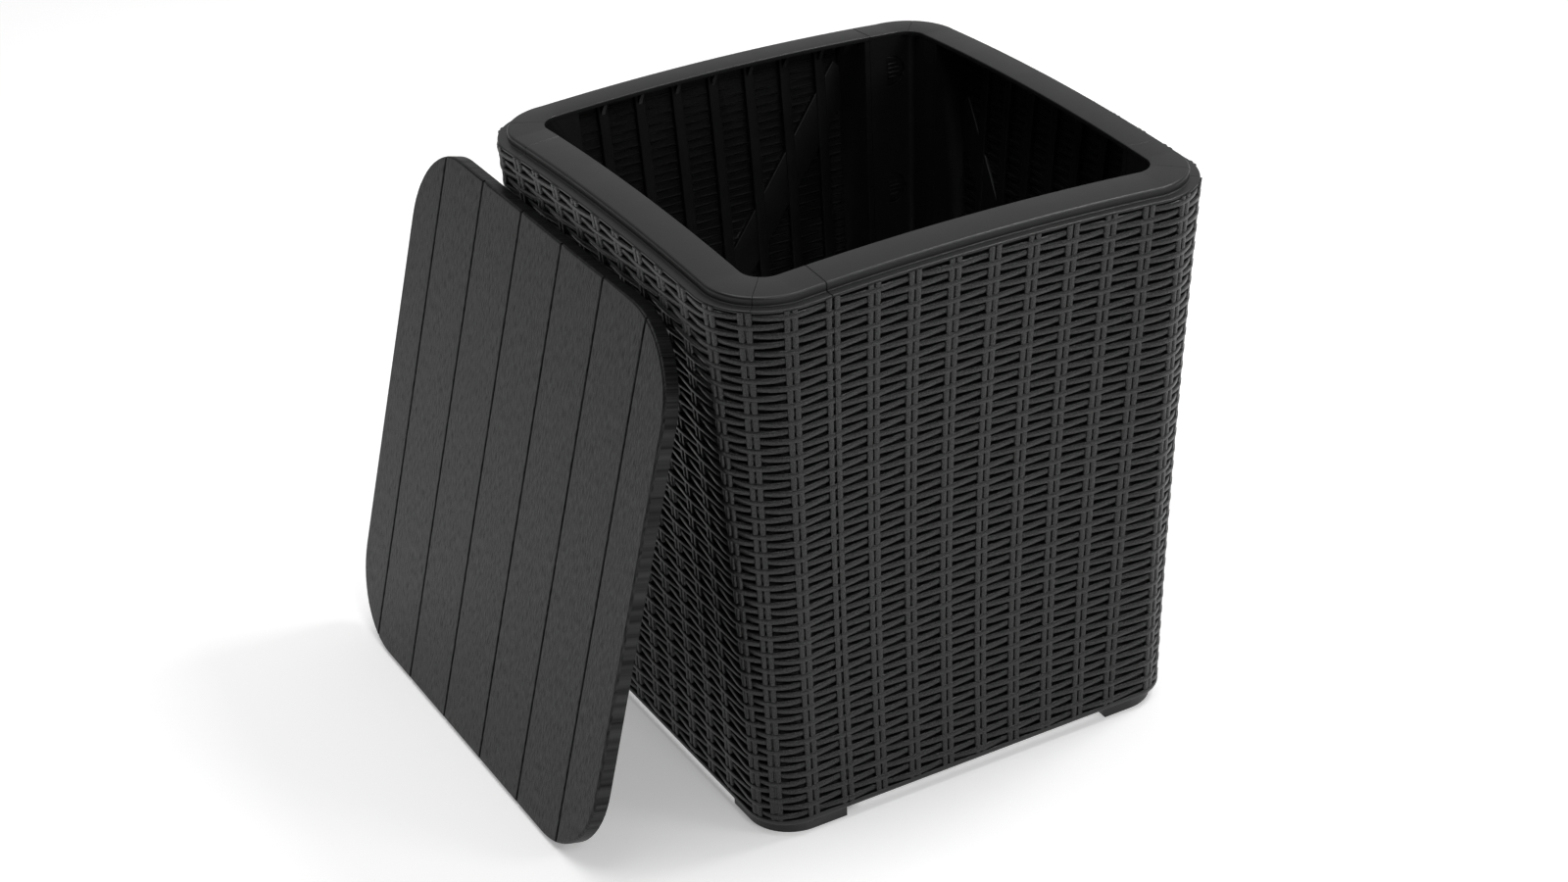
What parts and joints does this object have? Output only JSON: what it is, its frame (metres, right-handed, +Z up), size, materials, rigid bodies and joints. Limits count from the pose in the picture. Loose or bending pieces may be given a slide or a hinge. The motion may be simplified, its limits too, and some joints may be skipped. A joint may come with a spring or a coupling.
{
  "type": "propane tank cover table",
  "caption": "Square wicker-look open box of interlocking L-shaped moulded panels that stands round a gas tank, with a planked table lid leaning against one side.",
  "frame": {"origin": "on the floor, under the centre of the box", "axes": "+Z up; the front wall faces -Y; the lid leans on the -X wall"},
  "size_m": [0.575, 0.5333, 0.502],
  "materials": {
    "resin_weave": "satin black moulded resin with a woven wicker relief",
    "resin_plank": "satin black moulded resin with a brushed wood grain"
  },
  "bodies": {
    "box": {"front_panel": "resin_weave", "right_panel": "resin_weave", "back_panel": "resin_weave", "left_panel": "resin_weave"},
    "lid": {"lid": "resin_plank"}
  },
  "joints": [
    {"name": "lid_lift", "type": "slide", "parent": "box", "child": "lid", "axis": [-0.0995, 0, 0.995], "range_m": [0, 0.45]}
  ]
}
